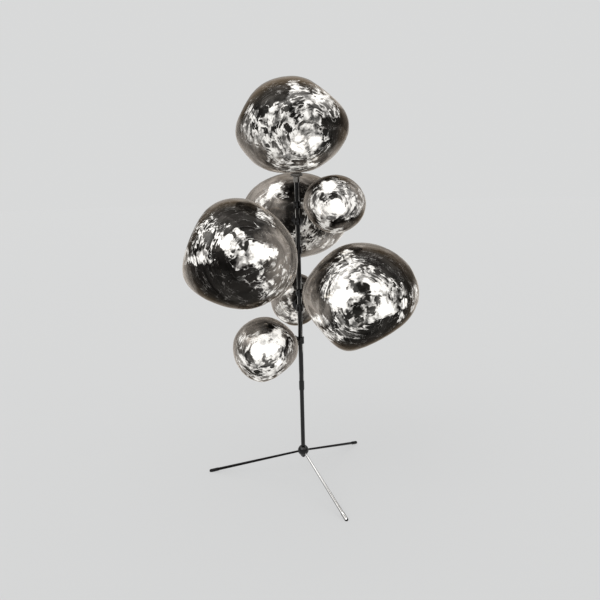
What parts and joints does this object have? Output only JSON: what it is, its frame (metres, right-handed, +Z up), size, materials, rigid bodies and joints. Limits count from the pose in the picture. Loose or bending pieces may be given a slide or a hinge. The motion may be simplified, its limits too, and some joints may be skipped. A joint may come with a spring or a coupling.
{
  "type": "standing globe chandelier",
  "caption": "Floor-standing chandelier: hollow smoked-mirror globes of uneven, melted shape, lit from inside, held close round a slim black stem on splayed rod legs.",
  "frame": {"origin": "on the floor, at the middle of the whole object's footprint box; the stem stands 9 mm left and 56 mm in front of it", "axes": "+Z up along the stem, -Y towards the front, +X to the right of someone who looks from the front"},
  "size_m": [0.9927, 0.9595, 1.793],
  "materials": {
    "gloss_black": "gloss black lacquer",
    "black_nickel": "polished black nickel",
    "dark_rubber": "satin",
    "smoke_mirror": "half-mirrored smoke, polished and wavy",
    "dark_aluminium": "black anodised",
    "white_board": "white solder mask",
    "lit_opal": "opal diffuser, lit"
  },
  "bodies": {
    "stand": {"hub": "gloss_black", "leg_front": "black_nickel", "foot_front": "dark_rubber", "leg_right": "black_nickel", "foot_right": "dark_rubber", "leg_left": "black_nickel", "foot_left": "dark_rubber", "hub_nut": "gloss_black", "lower_tube": "gloss_black", "upper_tube": "gloss_black", "stem_coupling": "gloss_black", "cable_gland": "dark_rubber", "socket_top": "gloss_black", "neck_ring_top": "gloss_black", "light_column_top": "dark_aluminium", "led_board_top": "white_board", "diffuser_top": "lit_opal", "arm_left": "gloss_black", "neck_ring_left": "gloss_black", "light_column_left": "dark_aluminium", "led_board_left": "white_board", "diffuser_left": "lit_opal", "arm_right": "gloss_black", "neck_ring_right": "gloss_black", "light_column_right": "dark_aluminium", "led_board_right": "white_board", "diffuser_right": "lit_opal", "arm_back": "gloss_black", "neck_ring_back": "gloss_black", "light_column_back": "dark_aluminium", "led_board_back": "white_board", "diffuser_back": "lit_opal", "arm_small_right": "gloss_black", "neck_ring_small_right": "gloss_black", "light_column_small_right": "dark_aluminium", "led_board_small_right": "white_board", "diffuser_small_right": "lit_opal", "arm_small_left": "gloss_black", "neck_ring_small_left": "gloss_black", "light_column_small_left": "dark_aluminium", "led_board_small_left": "white_board", "diffuser_small_left": "lit_opal", "arm_small_back": "gloss_black", "neck_ring_small_back": "gloss_black", "light_column_small_back": "dark_aluminium", "led_board_small_back": "white_board", "diffuser_small_back": "lit_opal"},
    "globe_top": {"globe_top": "smoke_mirror"},
    "globe_left": {"globe_left": "smoke_mirror"},
    "globe_right": {"globe_right": "smoke_mirror"},
    "globe_back": {"globe_back": "smoke_mirror"},
    "globe_small_right": {"globe_small_right": "smoke_mirror"},
    "globe_small_left": {"globe_small_left": "smoke_mirror"},
    "globe_small_back": {"globe_small_back": "smoke_mirror"}
  },
  "joints": [
    {"name": "turn_top", "type": "hinge", "parent": "stand", "child": "globe_top", "pos_m": [-0.009, -0.056, 1.387], "axis": [0, 0, 1], "continuous": true},
    {"name": "turn_left", "type": "hinge", "parent": "stand", "child": "globe_left", "pos_m": [-0.03001, -0.06535, 1.063], "axis": [-0.9135, -0.4067, 0], "range_deg": [-30, 30]},
    {"name": "turn_right", "type": "hinge", "parent": "stand", "child": "globe_right", "pos_m": [0.01257, -0.06652, 0.875], "axis": [0.8988, -0.4384, 0], "continuous": true},
    {"name": "turn_back", "type": "hinge", "parent": "stand", "child": "globe_back", "pos_m": [-0.01116, 0.00596, 1.19], "axis": [-0.0349, 0.9994, 0], "range_deg": [-30, 30]},
    {"name": "turn_small_right", "type": "hinge", "parent": "stand", "child": "globe_small_right", "pos_m": [0.01527, -0.06532, 1.261], "axis": [0.9336, -0.3584, 0], "continuous": true},
    {"name": "turn_small_left", "type": "hinge", "parent": "stand", "child": "globe_small_left", "pos_m": [-0.03489, -0.07481, 0.655], "axis": [-0.809, -0.5878, 0], "continuous": true},
    {"name": "turn_small_back", "type": "hinge", "parent": "stand", "child": "globe_small_back", "pos_m": [-0.01519, 0.01473, 0.805], "axis": [-0.0872, 0.9962, 0], "continuous": true}
  ]
}
